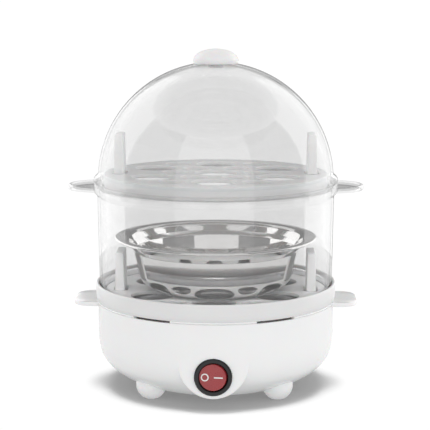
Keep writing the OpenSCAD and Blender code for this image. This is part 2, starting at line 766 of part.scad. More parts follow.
lid_dome();
lid_knob();
steam_container();
steam_bowl();
egg_tray(tray_shelf_z + tray_h);  // upper_tray
tray_handle(tray_shelf_z + tray_h, -1);  // upper_tray_handle_left
tray_handle(tray_shelf_z + tray_h, 1);  // upper_tray_handle_right
egg_tray(deck_z);  // lower_tray
tray_handle(deck_z, -1);  // lower_tray_handle_left
tray_handle(deck_z, 1);  // lower_tray_handle_right
base_ring();
base_housing();
bottom_cover();
cover_screws();
ring_screws();
foot(-1, -1);  // foot_front_left
foot(1, -1);  // foot_front_right
foot(-1, 1);  // foot_rear_left
foot(1, 1);  // foot_rear_right
heating_dish();
dish_gasket();
dish_nuts();
heater_plate();
heating_element();
element_tabs();
heater_clamp();
plate_screws();
thermostat();
thermostat_flange();
thermostat_tabs();
thermal_fuse();
fuse_clip();
switch_body();
switch_rocker();
switch_terminals();
pilot_lamp();
cord_gland();
terminal_block();
terminal_inserts();
block_screw();
lead(route_live, "brown");  // lead_live
lead(route_switched, "brown");  // lead_switched
lead(route_element, "white");  // lead_element
lead(route_fuse, "white");  // lead_fuse
lead(route_neutral, "royalblue");  // lead_neutral
lead(route_lamp, "royalblue");  // lead_lamp
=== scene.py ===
"""Two-tier egg cooker: the visual model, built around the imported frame."""
import json
import math

import bmesh
import bpy
from mathutils import Matrix, Vector

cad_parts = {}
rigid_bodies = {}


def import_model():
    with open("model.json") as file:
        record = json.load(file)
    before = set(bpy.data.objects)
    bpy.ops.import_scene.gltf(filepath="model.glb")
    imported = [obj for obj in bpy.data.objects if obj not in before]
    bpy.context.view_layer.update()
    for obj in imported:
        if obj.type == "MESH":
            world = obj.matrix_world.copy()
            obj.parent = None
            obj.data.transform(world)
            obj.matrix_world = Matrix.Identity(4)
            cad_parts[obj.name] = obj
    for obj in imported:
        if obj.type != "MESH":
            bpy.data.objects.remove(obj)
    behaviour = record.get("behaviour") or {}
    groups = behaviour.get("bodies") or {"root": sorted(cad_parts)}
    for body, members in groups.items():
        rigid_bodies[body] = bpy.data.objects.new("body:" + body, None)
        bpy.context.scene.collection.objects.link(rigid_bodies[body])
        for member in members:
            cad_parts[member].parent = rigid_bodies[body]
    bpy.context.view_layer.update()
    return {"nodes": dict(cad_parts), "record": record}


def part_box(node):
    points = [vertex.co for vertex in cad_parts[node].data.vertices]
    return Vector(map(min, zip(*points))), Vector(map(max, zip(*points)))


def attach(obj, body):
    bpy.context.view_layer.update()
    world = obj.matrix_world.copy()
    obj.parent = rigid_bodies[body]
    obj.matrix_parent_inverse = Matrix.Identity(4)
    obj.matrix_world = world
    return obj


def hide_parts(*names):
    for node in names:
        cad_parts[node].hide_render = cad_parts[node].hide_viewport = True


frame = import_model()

MM = 0.001
TURN = 2 * math.pi
scene = bpy.context.scene


# --- colours, nodes and small measures ---

def rgb(code):
    """An sRGB hex colour as linear red, green, blue and alpha."""
    parts = [int(code[i:i + 2], 16) / 255 for i in (0, 2, 4)]
    return [c / 12.92 if c <= 0.04045 else ((c + 0.055) / 1.055) ** 2.4 for c in parts] + [1.0]


def add(tree, kind, inputs=None, **settings):
    """A new node of that kind, with its settings, and its inputs set or linked."""
    node = tree.nodes.new(kind)
    for name, value in settings.items():
        setattr(node, name, value)
    for name, value in (inputs or {}).items():
        if isinstance(value, bpy.types.NodeSocket):
            tree.links.new(value, node.inputs[name])
        else:
            node.inputs[name].default_value = value
    return node


def per(size):
    """The noise scale whose cells are size mm across, on coordinates in metres."""
    return 1 / (size * MM)


def lines(pitch):
    """The wave scale whose lines are pitch mm apart, on coordinates in metres."""
    return TURN / (20 * pitch * MM)


def lowest(node):
    return [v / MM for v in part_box(node)[0]]


def highest(node):
    return [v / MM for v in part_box(node)[1]]


# --- finishes ---

def new_finish(name):
    """A material, its tree, its output node and its object coordinates."""
    made = bpy.data.materials.new(name)
    made.use_nodes = True
    tree = made.node_tree
    tree.nodes.clear()
    return made, tree, add(tree, "ShaderNodeOutputMaterial"), add(tree, "ShaderNodeTexCoord").outputs["Object"]


def moulded(name, light, dark, rough, grain, depth, glow=0.0, ior=1.49):
    """Moulded plastic or rubber: a faint cloudiness from its flow, and the tool's grain in bump and gloss."""
    made, tree, out, place = new_finish(name)
    flow = add(tree, "ShaderNodeTexNoise", {"Vector": place, "Scale": per(22), "Detail": 3.0})
    grit = add(tree, "ShaderNodeTexNoise", {"Vector": place, "Scale": per(grain), "Detail": 4.0})
    tone = add(tree, "ShaderNodeMix", {0: flow.outputs["Fac"], 6: rgb(light), 7: rgb(dark)}, data_type="RGBA")
    gloss = add(tree, "ShaderNodeMapRange", {"Value": grit.outputs["Fac"], "From Min": 0.3, "From Max": 0.7,
                                             "To Min": rough - 0.04, "To Max": rough + 0.05})
    bump = add(tree, "ShaderNodeBump", {"Height": grit.outputs["Fac"], "Strength": 1.0, "Distance": depth * MM})
    body = add(tree, "ShaderNodeBsdfPrincipled", {
        "Base Color": tone.outputs[2], "Roughness": gloss.outputs["Result"], "Normal": bump.outputs["Normal"],
        "IOR": ior, "Subsurface Weight": glow, "Subsurface Scale": 2 * MM})
    tree.links.new(body.outputs[0], out.inputs["Surface"])
    return made


def sheet_metal(name, light, dark, rough, pitch, depth, rings):
    """Metal with the fine lines of its spinning (rings about Z) or rolling (along X), and a light haze."""
    made, tree, out, place = new_finish(name)
    cloud = add(tree, "ShaderNodeTexNoise", {"Vector": place, "Scale": per(9), "Detail": 4.0})
    line = add(tree, "ShaderNodeTexWave", {"Vector": place, "Scale": lines(pitch), "Distortion": 2.5,
                                           "Detail": 3.0, "Detail Scale": 1.5},
               wave_type="RINGS" if rings else "BANDS", rings_direction="Z", bands_direction="Y")
    tone = add(tree, "ShaderNodeMix", {0: cloud.outputs["Fac"], 6: rgb(light), 7: rgb(dark)}, data_type="RGBA")
    gloss = add(tree, "ShaderNodeMapRange", {"Value": line.outputs["Fac"], "To Min": rough * 0.8,
                                             "To Max": rough * 1.3})
    bump = add(tree, "ShaderNodeBump", {"Height": line.outputs["Fac"], "Strength": 1.0, "Distance": depth * MM})
    body = add(tree, "ShaderNodeBsdfPrincipled", {
        "Base Color": tone.outputs[2], "Metallic": 1.0, "Roughness": gloss.outputs["Result"],
        "Normal": bump.outputs["Normal"]})
    tree.links.new(body.outputs[0], out.inputs["Surface"])
    return made


def clear_polystyrene():
    """Clear polystyrene from a polished tool: glassy, faintly hazy, and greyer where the wall is seen end on;
    that grey is a painted dark edge standing in for the dark outline that refraction through the thick wall
    gives.
    """
    made, tree, out, place = new_finish("clear_polystyrene")
    slant = add(tree, "ShaderNodeLayerWeight", {"Blend": 0.5}).outputs["Facing"]
    steep = add(tree, "ShaderNodeMath", {0: slant, 1: 5.0}, operation="POWER")
    # about 5% straight on, as for an IOR of 1.59, rising steeply at a glance
    gleam = add(tree, "ShaderNodeMapRange", {"Value": steep.outputs[0], "To Min": 0.045, "To Max": 0.62})
    # painted dark edge: the longer path through the wall greys it only a little, and the near black at a glance
    # is painted shade standing in for refraction
    depth = add(tree, "ShaderNodeMath", {0: slant, 1: 14.0}, operation="POWER")
    tint_with_painted_edge = add(tree, "ShaderNodeMix", {0: depth.outputs[0], 6: rgb("f8f8f8"), 7: rgb("2c2d2e")}, data_type="RGBA")
    ripple = add(tree, "ShaderNodeTexNoise", {"Vector": place, "Scale": per(26), "Detail": 1.0})
    bump = add(tree, "ShaderNodeBump", {"Height": ripple.outputs["Fac"], "Strength": 1.0,
                                        "Distance": 0.03 * MM})
    clear = add(tree, "ShaderNodeBsdfTransparent", {"Color": tint_with_painted_edge.outputs[2]})
    shine = add(tree, "ShaderNodeBsdfAnisotropic", {"Color": rgb("ffffff"), "Roughness": 0.03,
                                                    "Normal": bump.outputs["Normal"]})
    wall = add(tree, "ShaderNodeMixShader", {0: gleam.outputs["Result"], 1: clear.outputs[0],
                                             2: shine.outputs[0]})
    cloud = add(tree, "ShaderNodeTexNoise", {"Vector": place, "Scale": per(14), "Detail": 3.0})
    amount = add(tree, "ShaderNodeMapRange", {"Value": cloud.outputs["Fac"], "To Min": 0.01, "To Max": 0.025})
    haze = add(tree, "ShaderNodeBsdfPrincipled", {"Base Color": rgb("d6d6d6"), "Roughness": 0.4})
    both = add(tree, "ShaderNodeMixShader", {0: amount.outputs["Result"], 1: wall.outputs[0],
                                             2: haze.outputs[0]})
    tree.links.new(both.outputs[0], out.inputs["Surface"])
    return made


def fibreglass_sleeve():
    """Woven fibreglass sleeving: a 0.9 mm plait, drawn coarse enough to show."""
    made, tree, out, place = new_finish("fibreglass_sleeve")
    one = add(tree, "ShaderNodeTexWave", {"Vector": place, "Scale": lines(0.9)}, bands_direction="DIAGONAL")
    two = add(tree, "ShaderNodeTexWave", {"Vector": place, "Scale": lines(0.9)}, bands_direction="X")
    plait = add(tree, "ShaderNodeMath", {0: one.outputs["Fac"], 1: two.outputs["Fac"]}, operation="MULTIPLY")
    tone = add(tree, "ShaderNodeMix", {0: plait.outputs[0], 6: rgb("cfc9ba"), 7: rgb("f1ece0")},
               data_type="RGBA")
    bump = add(tree, "ShaderNodeBump", {"Height": plait.outputs[0], "Strength": 1.0, "Distance": 0.15 * MM})
    body = add(tree, "ShaderNodeBsdfPrincipled", {"Base Color": tone.outputs[2], "Roughness": 0.85,
                                                  "Normal": bump.outputs["Normal"]})
    tree.links.new(body.outputs[0], out.inputs["Surface"])
    return made


def lamp_glass():
    """A neon lamp's glass, warm from the gas inside it."""
    made, tree, out, place = new_finish("lamp_glass")
    glow = add(tree, "ShaderNodeTexNoise", {"Vector": place, "Scale": per(2)})
    tone = add(tree, "ShaderNodeMix", {0: glow.outputs["Fac"], 6: rgb("ffd9b0"), 7: rgb("f2a25c")},
               data_type="RGBA")
    body = add(tree, "ShaderNodeBsdfPrincipled", {"Base Color": tone.outputs[2], "Roughness": 0.06,
                                                  "Transmission Weight": 0.7, "IOR": 1.5})
    tree.links.new(body.outputs[0], out.inputs["Surface"])
    return made


FINISHES = {
    "clear_polystyrene": clear_polystyrene(),
    # frosted polystyrene: milky, with a soft spread highlight
    "frosted_plastic": moulded("frosted_plastic", "f0f0f0", "e8e8e8", 0.38, 0.6, 0.01, 0.3, 1.59),
    # polypropylene from a lightly textured tool: satin, slightly waxy
    "tray_polypropylene": moulded("tray_polypropylene", "f5f5f5", "efefef", 0.36, 0.8, 0.012, 0.1),
    "ring_polypropylene": moulded("ring_polypropylene", "e9e9e9", "e4e4e4", 0.32, 0.8, 0.01, 0.1),
    # polypropylene from a polished tool: glossy, bright white
    "housing_polypropylene": moulded("housing_polypropylene", "fafafa", "f6f6f6", 0.22, 1.1, 0.006, 0.1),
    "foot_plastic": moulded("foot_plastic", "f4f4f4", "ebebec", 0.3, 0.8, 0.01, 0.1),
    # mirror-polished stainless steel, with the last traces of its spinning
    "polished_stainless": sheet_metal("polished_stainless", "eae9e8", "e0dfde", 0.055, 0.9, 0.0003, True),
    "dish_steel": sheet_metal("dish_steel", "e0e0e1", "d2d2d4", 0.24, 0.5, 0.004, True),
    "aluminium_plate": sheet_metal("aluminium_plate", "dcdde0", "cbccd0", 0.34, 0.7, 0.006, False),
    "zinc_plated_steel": sheet_metal("zinc_plated_steel", "d3d5da", "b9bdc4", 0.28, 0.4, 0.003, False),
    "terminal_brass": sheet_metal("terminal_brass", "d9b567", "c39c4e", 0.26, 0.4, 0.003, False),
    # moulded silicone: matt, with a faint bloom
    "silicone_rubber": moulded("silicone_rubber", "b5493c", "9c3a30", 0.6, 0.5, 0.02, 0.1),
    "phenolic": moulded("phenolic", "2e2a28", "211e1d", 0.5, 0.4, 0.02),
    # nylon from a satin tool: near black, softly shining
    "switch_black": moulded("switch_black", "171a1c", "121415", 0.34, 0.5, 0.01),
    # translucent red polycarbonate over an unlit lamp
    "rocker_red": moulded("rocker_red", "ad3a3e", "9a3034", 0.3, 0.6, 0.006, 0.35, 1.58),
    "lamp_glass": lamp_glass(),
    "fibreglass_sleeve": fibreglass_sleeve(),
    "block_nylon": moulded("block_nylon", "e4dfd2", "d6d0c1", 0.48, 0.6, 0.02, 0.2),
    # extruded silicone insulation: smooth and slightly waxy
    "lead_brown": moulded("lead_brown", "6b4330", "5a3626", 0.42, 0.7, 0.01),
    "lead_white": moulded("lead_white", "ececea", "dededb", 0.42, 0.7, 0.01),
    "lead_blue": moulded("lead_blue", "3a69ad", "2e5996", 0.42, 0.7, 0.01),
}
# pad-printed white ink on the rocker
WHITE_INK = moulded("white_ink", "f6f4f2", "eae8e6", 0.45, 0.4, 0.01)


# --- outlines ---

def rounded(corners, steps=5, closed=True):
    """The outline through corners (r, z, fillet), each with its fillet as an arc."""
    out, n = [], len(corners)
    for i, (r, z, fillet) in enumerate(corners):
        here = Vector((r, z))
        if fillet <= 0 or (not closed and i in (0, n - 1)):
            out.append((r, z))
            continue
        before, after = Vector(corners[i - 1][:2]), Vector(corners[(i + 1) % n][:2])
        u, v = (before - here), (after - here)
        half = u.angle(v) / 2
        if half > 0.499 * math.pi:
            out.append((r, z))
            continue
        cut = min(fillet / math.tan(half), 0.49 * u.length, 0.49 * v.length)
        u.normalize()
        v.normalize()
        radius = cut * math.tan(half)
        centre = here + (u + v).normalized() * (radius / math.sin(half))
        start, end = here + u * cut - centre, here + v * cut - centre
        a0 = math.atan2(start.y, start.x)
        sweep = (math.atan2(end.y, end.x) - a0 + math.pi) % TURN - math.pi
        out += [(centre.x + radius * math.cos(a0 + sweep * k / steps),
                 centre.y + radius * math.sin(a0 + sweep * k / steps)) for k in range(steps + 1)]
    return out


def arc(r0, z0, radius, start, end, steps):
    """Points on a circle about (r0, z0), from start to end in degrees."""
    turns = [math.radians(start + (end - start) * k / steps) for k in range(steps + 1)]
    return [(r0 + radius * math.cos(a), z0 + radius * math.sin(a)) for a in turns]


def thickened(path, wall):
    """The closed outline of a sheet whose left side is wall mm from the open path."""
    ahead = [(Vector(b) - Vector(a)).normalized() for a, b in zip(path, path[1:])]
    other = []
    for i, point in enumerate(path):
        n0 = ahead[max(i - 1, 0)]
        n1 = ahead[min(i, len(ahead) - 1)]
        n0, n1 = Vector((-n0.y, n0.x)), Vector((-n1.y, n1.x))
        other.append(tuple(Vector(point) + (n0 + n1) * wall / (1 + n0.dot(n1))))
    return list(path) + other[::-1]


# --- solids: lists of (vertices in mm, faces) ---

def turned(outline_at, angles):
    """A closed solid round Z, whose outline at each angle is outline_at(angle)."""
    outlines = [outline_at(a) for a in angles]
    verts, rows = [], []
    for i, (r, z) in enumerate(outlines[0]):
        if r < 1e-6:
            rows.append([len(verts)])
            verts.append((0, 0, z))
            continue
        rows.append(list(range(len(verts), len(verts) + len(angles))))
        verts += [(o[i][0] * math.cos(a), o[i][0] * math.sin(a), o[i][1]) for o, a in zip(outlines, angles)]
    faces = []
    for row, after in zip(rows, rows[1:] + rows[:1]):
        if len(row) == 1 and len(after) == 1:
            continue
        for k in range(len(angles)):
            n = (k + 1) % len(angles)
            loop = [row[k % len(row)], row[n % len(row)], after[n % len(after)], after[k % len(after)]]
            faces.append([v for j, v in enumerate(loop) if v != loop[j - 1]])
    return verts, faces


def lathe(outline, segments=192):
    return turned(lambda a: outline, [TURN * k / segments for k in range(segments)])


def moved(part, matrix):
    return [tuple(matrix @ Vector(v)) for v in part[0]], part[1]


def block(size, at, bevel, top=None, steps=4):
    """A box standing on at, with round edges; top gives its size at the top where it tapers."""
    build = bmesh.new()
    bmesh.ops.create_cube(build, size=1)
    top = top or size[:2]
    for v in build.verts:
        wide = top if v.co.z > 0 else size
        v.co = Vector((v.co.x * wide[0] + at[0], v.co.y * wide[1] + at[1], (v.co.z + 0.5) * size[2] + at[2]))
    if bevel:
        bmesh.ops.bevel(build, geom=list(build.edges), offset=bevel, segments=steps, profile=0.5,
                        affect="EDGES")
    build.verts.index_update()
    out = [tuple(v.co) for v in build.verts], [[v.index for v in f.verts] for f in build.faces]
    build.free()
    return out


def plate(loops, low, high, edge):
    """A flat plate with round edges; the first loop of (x, y) is its outside and the rest are holes."""
    curve = bpy.data.curves.new("plate", "CURVE")
    curve.dimensions, curve.fill_mode = "2D", "BOTH"
    for i, loop in enumerate(loops):
        spline = curve.splines.new("POLY")
        spline.points.add(len(loop) - 1)
        for point, (x, y) in zip(spline.points, loop if i == 0 else loop[::-1]):
            point.co = (x, y, 0, 1)
        spline.use_cyclic_u = True
    curve.extrude = (high - low) / 2 - edge
    curve.bevel_depth, curve.bevel_resolution, curve.offset = edge, 2, -edge
    shape = bpy.data.objects.new("plate", curve)
    mesh = bpy.data.meshes.new_from_object(shape)
    middle = (high + low) / 2
    out = ([(v.co.x, v.co.y, v.co.z + middle) for v in mesh.vertices],
           [list(p.vertices) for p in mesh.polygons])
    bpy.data.objects.remove(shape)
    bpy.data.curves.remove(curve)
    bpy.data.meshes.remove(mesh)
    return out


def circle(x, y, radius, steps=48):
    return [(x + radius * math.cos(TURN * k / steps), y + radius * math.sin(TURN * k / steps))
            for k in range(steps)]


def raw(name, parts, finish=None):
    """One mesh object in metres, with outward normals."""
    mesh = bpy.data.meshes.new(name)
    build = bmesh.new()
    for verts, faces in parts:
        made = [build.verts.new(Vector(v) * MM) for v in verts]
        for face in faces:
            build.faces.new([made[i] for i in face])
    bmesh.ops.remove_doubles(build, verts=build.verts, dist=1e-7)
    bmesh.ops.recalc_face_normals(build, faces=build.faces)
    build.to_mesh(mesh)
    build.free()
    if finish:
        mesh.materials.append(finish)
    out = bpy.data.objects.new(name, mesh)
    scene.collection.objects.link(out)
    return out


def settle(obj):
    """The object's modifiers taken into its mesh."""
    bpy.context.view_layer.update()
    mesh = bpy.data.meshes.new_from_object(obj.evaluated_get(bpy.context.evaluated_depsgraph_get()))
    obj.modifiers.clear()
    old, obj.data = obj.data, mesh
    mesh.name = obj.name
    bpy.data.meshes.remove(old)


def drop_slivers(obj):
    """Take away what a cut leaves behind: doubled points, flat faces and loose scraps."""
    build = bmesh.new()
    build.from_mesh(obj.data)
    bmesh.ops.triangulate(build, faces=[f for f in build.faces if len(f.verts) > 4])
    bmesh.ops.remove_doubles(build, verts=build.verts, dist=2e-6)
    bmesh.ops.dissolve_degenerate(build, edges=build.edges, dist=1e-6)
    seen, scraps = set(), []
    for face in build.faces:
        if face in seen:
            continue
        seen.add(face)
        island, waiting = [], [face]
        while waiting:
            here = waiting.pop()
            island.append(here)
            near = {f for edge in here.edges for f in edge.link_faces} - seen
            seen |= near
            waiting += near
        if len(island) < 12:
            scraps += island
    bmesh.ops.delete(build, geom=scraps, context="FACES")
    bmesh.ops.recalc_face_normals(build, faces=build.faces)
    build.to_mesh(obj.data)
    build.free()


def carve(obj, cutters, operation="DIFFERENCE"):
    """The object with the cutters' solids taken from it, or joined to it."""
    tools = [raw("cutter", [part]) for part in cutters]
    for tool in tools:
        step = obj.modifiers.new("carve", "BOOLEAN")
        step.operation, step.solver, step.object = operation, "EXACT", tool
    settle(obj)
    for tool in tools:
        bpy.data.objects.remove(tool)
    drop_slivers(obj)
    return obj


def show(obj, body, nodes=(), crease=32):
    """The finished piece: smooth shading up to the crease angle, fixed to its body, with the CAD nodes it stands
    for hidden.
    """
    obj.data.polygons.foreach_set("use_smooth", [True] * len(obj.data.polygons))
    obj.data.set_sharp_from_angle(angle=math.radians(crease))
    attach(obj, body)
    if nodes:
        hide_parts(*nodes)
    return obj


# --- places from the frame, in mm ---
RING_TOP = highest("base_ring")[2]
SEAM = highest("base_housing")[2]
RING_R = highest("base_ring")[1]
RIM_TOP = highest("steam_container")[2]
LID_LOW = lowest("lid_dome")[2]
KNOB_TOP = highest("lid_knob")[2]
KNOB_R = highest("lid_knob")[0]
LOWER_DECK = lowest("steam_bowl")[2]
UPPER_DECK = lowest("upper_tray")[2] + 8.5
HOUSING_LOW = lowest("base_housing")[2]
EAR_X = highest("base_housing")[0]
CONT_EAR_X = highest("steam_container")[0]
SWITCH_Z = (lowest("switch_body")[2] + highest("switch_body")[2]) / 2
BEZEL_FRONT = -lowest("switch_body")[1]
DOME_R, DOME_Z = 78.0, RIM_TOP + 0.7
RIM_R = 80.8
DISH_FLOOR = LOWER_DECK - 14.5


# --- lid ---

LIP = rounded([(DOME_R, RIM_TOP + 5.2, 0), (RIM_R - 0.5, RIM_TOP + 3, 0.8), (RIM_R, RIM_TOP + 2.2, 0.5),
               (RIM_R, RIM_TOP + 0.05, 0.5), (79, RIM_TOP + 0.05, 0.2), (79, LID_LOW, 0.3),
               (77.7, LID_LOW, 0.3), (DOME_R - 1.5, RIM_TOP - 0.8, 0.6)], closed=False)[1:] + [
    (r, z) for r, z in arc(0, DOME_Z, DOME_R - 1.5, 0, 90 - math.degrees(math.asin(4.06 / 76.5)), 48)]
lid_side = arc(0, DOME_Z, DOME_R, math.degrees(math.acos(4.06 / DOME_R)),
               math.degrees(math.asin((RIM_TOP + 5.2 - DOME_Z) / DOME_R)), 96) + LIP
lid = raw("lid_dome_clear", [lathe(lid_side, 256)], FINISHES["clear_polystyrene"])
vents = [moved(lathe([(0, 60), (2, 60), (2, 85), (0, 85)], 32),
               Matrix.Translation((x, 0, DOME_Z)) @ Matrix.Rotation(math.radians(-30), 4, "X"))
         for x in (-9, 9)]
carve(lid, vents)
show(lid, "lid", ["lid_dome"])

KNOB_LOW = DOME_Z + math.sqrt(DOME_R ** 2 - KNOB_R ** 2)
knob_top = [(KNOB_R * math.cos(a), KNOB_LOW + 2.2 + (KNOB_TOP - KNOB_LOW - 2.2) * math.sin(a))
            for a in [math.pi / 2 * k / 24 for k in range(24, -1, -1)]]
knob_top[0] = (0, KNOB_TOP)
knob = raw("lid_knob_frosted", [lathe(
    knob_top + rounded([(KNOB_R, KNOB_LOW + 2.2, 0), (KNOB_R - 0.4, KNOB_LOW + 0.1, 0.6),
                        (12, DOME_Z + math.sqrt(DOME_R ** 2 - 144) + 0.03, 0.2),
                        (4, DOME_Z + DOME_R + 0.03, 0), (4, DOME_Z + 76.2, 0), (5, DOME_Z + 76.2, 0),
                        (5, DOME_Z + 74.2, 0.4), (0, DOME_Z + 74.2, 0)], closed=False)[1:], 96)],
    FINISHES["frosted_plastic"])
show(knob, "lid", ["lid_knob"])


# --- steam container, with its two beaded ears ---

shoulder = RIM_TOP - 8.5
shelf = RIM_TOP - 3
FOOT_R = 77.5
wall = rounded([
    (FOOT_R, 62, 0.5), (78.4, shoulder, 3), (RIM_R, shoulder + 2.3, 1.6), (RIM_R, RIM_TOP, 0.5),
    (79.3, RIM_TOP, 0.3), (79.3, shelf, 0.3), (72.6, shelf, 0.5), (72.6, shelf - 1.4, 0.5),
    (77.1, shelf - 1.4, 0.6), (77.1, shoulder, 0.6), (FOOT_R - 1.3, 62, 0.5)])
ear_r = 21
ear_at = CONT_EAR_X - ear_r
ear_low = RIM_TOP - 5.5
ear_side = rounded([(0, ear_low + 1, 0), (ear_r - 2.6, ear_low + 1, 0.8), (ear_r - 2.2, ear_low, 0.9),
                    (ear_r, ear_low, 1.0), (ear_r, ear_low + 3.5, 1.0), (ear_r - 2.2, ear_low + 3.5, 0.9),
                    (ear_r - 2.6, ear_low + 2.5, 0.8), (0, ear_low + 2.5, 0)], closed=False)
container = raw("steam_container_clear",
                [moved(lathe(ear_side, 128), Matrix.Translation((side * ear_at, 0, 0))) for side in (-1, 1)],
                FINISHES["clear_polystyrene"])
carve(container, [lathe([(0, 60), (RIM_R - 0.6, 60), (RIM_R - 0.6, 200), (0, 200)], 256)])
carve(container, [lathe(wall, 256)], "UNION")
show(container, "container", ["steam_container"])


# --- steaming bowl, spun from 0.7 mm sheet, with a rolled rim ---

bowl_path = [(0, 0), (22, 0), (33, 0)]
bowl_path += [(33 + 19 * math.sin(math.radians(i * 5)), 13 * (1 - math.cos(math.radians(i * 5))))
              for i in range(1, 19)]
bowl_path += rounded([(52, 13, 0), (55, 26.9, 1.2), (57, 29.6, 3), (59.2, 33.6, 2), (61.2, 34.8, 1.6),
                      (66.4, 34.9, 0)], closed=False)[1:]
bowl_path = [(r, z + LOWER_DECK) for r, z in bowl_path]
rim = arc(66.2, LOWER_DECK + 35.0, 0.92, 0, 345, 23)
bowl = raw("steam_bowl_steel", [lathe(thickened(bowl_path, 0.7), 256), lathe(rim, 256)],
           FINISHES["polished_stainless"])
show(bowl, "bowl", ["steam_bowl"], crease=50)


# --- egg trays and their lift handles ---

SLOT = [(-4.7, -8), (4.7, -8), (4.7, 8), (-4.7, 8)]
HANDLE_LOW, HANDLE_HIGH = lowest("upper_tray_handle_right"), highest("upper_tray_handle_right")
HANDLE_X = (HANDLE_LOW[0] + HANDLE_HIGH[0]) / 2
HANDLE_W, HANDLE_D = HANDLE_HIGH[0] - HANDLE_LOW[0], HANDLE_HIGH[1] - HANDLE_LOW[1]
HANDLE_H = HANDLE_HIGH[2] - UPPER_DECK


def ring_of_holes(count, at, radius, turns=None):
    turns = turns or [TURN * k / count for k in range(count)]
    return [circle(at * math.cos(a), at * math.sin(a), radius) for a in turns]


def tray(name, deck, body, nodes):
    holes = [circle(0, 0, 14.25)]
    holes += ring_of_holes(6, 47.1, 14.25, [math.radians(30 + 60 * k) for k in range(6)])
    holes += ring_of_holes(6, 27, 9)
    holes += ring_of_holes(4, 54, 9, [math.radians(a) for a in (60, 120, 240, 300)])
    holes += [[(x + side * HANDLE_X, y) for x, y in SLOT] for side in (-1, 1)]
    skirt = rounded([(72.5, deck - 8.5, 0.4), (73.9, deck - 8.5, 0.4), (73.9, deck - 1, 0.5),
                     (72.5, deck - 1, 0)])
    made = raw(name, [plate([circle(0, 0, 74, 192)] + holes, deck - 2.5, deck, 0.5), lathe(skirt)],
               FINISHES["tray_polypropylene"])
    show(made, body, nodes)


def handle(name, deck, side, body, node):
    x = side * HANDLE_X
    hook = HANDLE_W - 1
    made = raw(name, [block((HANDLE_W, HANDLE_D, HANDLE_H), (x, 0, deck), 0.9, (HANDLE_W - 1, HANDLE_D - 0.6)),
                      block((hook, 15.4, 3.6), (x, 0, deck - 3.0), 0.2),
                      block((hook, 19, 1.2), (x, 0, deck - 4.0), 0.3)], FINISHES["tray_polypropylene"])
    show(made, body, [node])


for tier, deck in (("lower", LOWER_DECK), ("upper", UPPER_DECK)):
    tray(f"{tier}_tray_moulding", deck, f"{tier}_tray_set", [f"{tier}_tray"])
    for word, side in (("left", -1), ("right", 1)):
        handle(f"{tier}_lift_handle_{word}", deck, side, f"{tier}_tray_set", f"{tier}_tray_handle_{word}")


# --- base: ring, dish and housing ---

SLOT_STARTS = (290, 230, 110, 50)


def sector(inner, outer, low, high, start, sweep, steps=10):
    """A cutter: part of a ring, from start through sweep, in degrees."""
    turns = [math.radians(start + sweep * k / steps) for k in range(steps + 1)]
    verts = [(r * math.cos(a), r * math.sin(a), z) for a in turns
             for r, z in ((inner, low), (outer, low), (outer, high), (inner, high))]
    faces = [[4 * k + i, 4 * k + (i + 1) % 4, 4 * k + 4 + (i + 1) % 4, 4 * k + 4 + i]
             for k in range(steps) for i in range(4)]
    return verts, faces + [[0, 1, 2, 3], [4 * steps + i for i in (3, 2, 1, 0)]]


web = RING_TOP - 8
ring_side = rounded([
    (RING_R - 0.9, SEAM, 0.3), (RING_R - 0.2, SEAM + 2, 2), (RING_R, SEAM + 4, 2), (RING_R, RING_TOP, 0.95),
    (78, RING_TOP, 0.9), (78, web, 0.3), (75.6, web, 0.3), (75.6, 53.9, 0.2), (71.2, 53.9, 0.3),
    (71.2, 51.9, 0.3), (76.6, 51.9, 0.2), (76.6, SEAM, 0)])
ring = raw("base_ring_moulding", [lathe(ring_side, 256)], FINISHES["ring_polypropylene"])
carve(ring, [sector(75.5, 77.9, 50.8, SEAM - 0.1, start, 20) for start in SLOT_STARTS])
show(ring, "base", ["base_ring"])

dish_path = rounded([(0, DISH_FLOOR, 0), (69.2, DISH_FLOOR, 3), (69.2, DISH_FLOOR + 6, 0.8),
                     (74.5, DISH_FLOOR + 6, 1.2), (74.5, RING_TOP - 2.4, 0.6), (75.7, RING_TOP - 1.75, 0)],
                    closed=False)
studs = [moved(lathe([(0, 48.7), (1.5, 48.7), (1.5, 55), (0, 55)], 24),
               Matrix.Translation((73.2 * math.cos(TURN * k / 3), 73.2 * math.sin(TURN * k / 3), 0)))
         for k in range(3)]
dish = raw("heating_dish_steel", [lathe(thickened(dish_path, -0.8), 192),
                                  lathe(arc(75.2, RING_TOP - 2.3, 0.68, 0, 345, 23), 192)] + studs,
           FINISHES["dish_steel"])
show(dish, "base", ["heating_dish"])

BODY_R, CURVE_TOP, WALL = 78.7, 47.0, 1.9
CURVE_H = CURVE_TOP - HOUSING_LOW
FLANGE_R = 79.6
EAR_HALF, EAR_CORNER = 20.0, 12.0


def body_at(z):
    """Radius of the housing's outer wall at height z."""
    return BODY_R if z >= CURVE_TOP else BODY_R - 26.7 * ((CURVE_TOP - z) / CURVE_H) ** 4.4


def ear_reach(angle):
    """Distance from the middle to the edge of a grip ear in that direction."""
    c, s = abs(math.cos(angle)), abs(math.sin(angle))
    r = min(EAR_X / max(c, 1e-6), EAR_HALF / max(s, 1e-6))
    cx, cy = EAR_X - EAR_CORNER, EAR_HALF - EAR_CORNER
    if r * c > cx and r * s > cy:
        along = c * cx + s * cy
        r = along + math.sqrt(max(along ** 2 - cx ** 2 - cy ** 2 + EAR_CORNER ** 2, 0))
    return r


def in_slot(angle):
    degrees = math.degrees(angle) % 360
    return any(start <= degrees <= start + 20 for start in SLOT_STARTS)


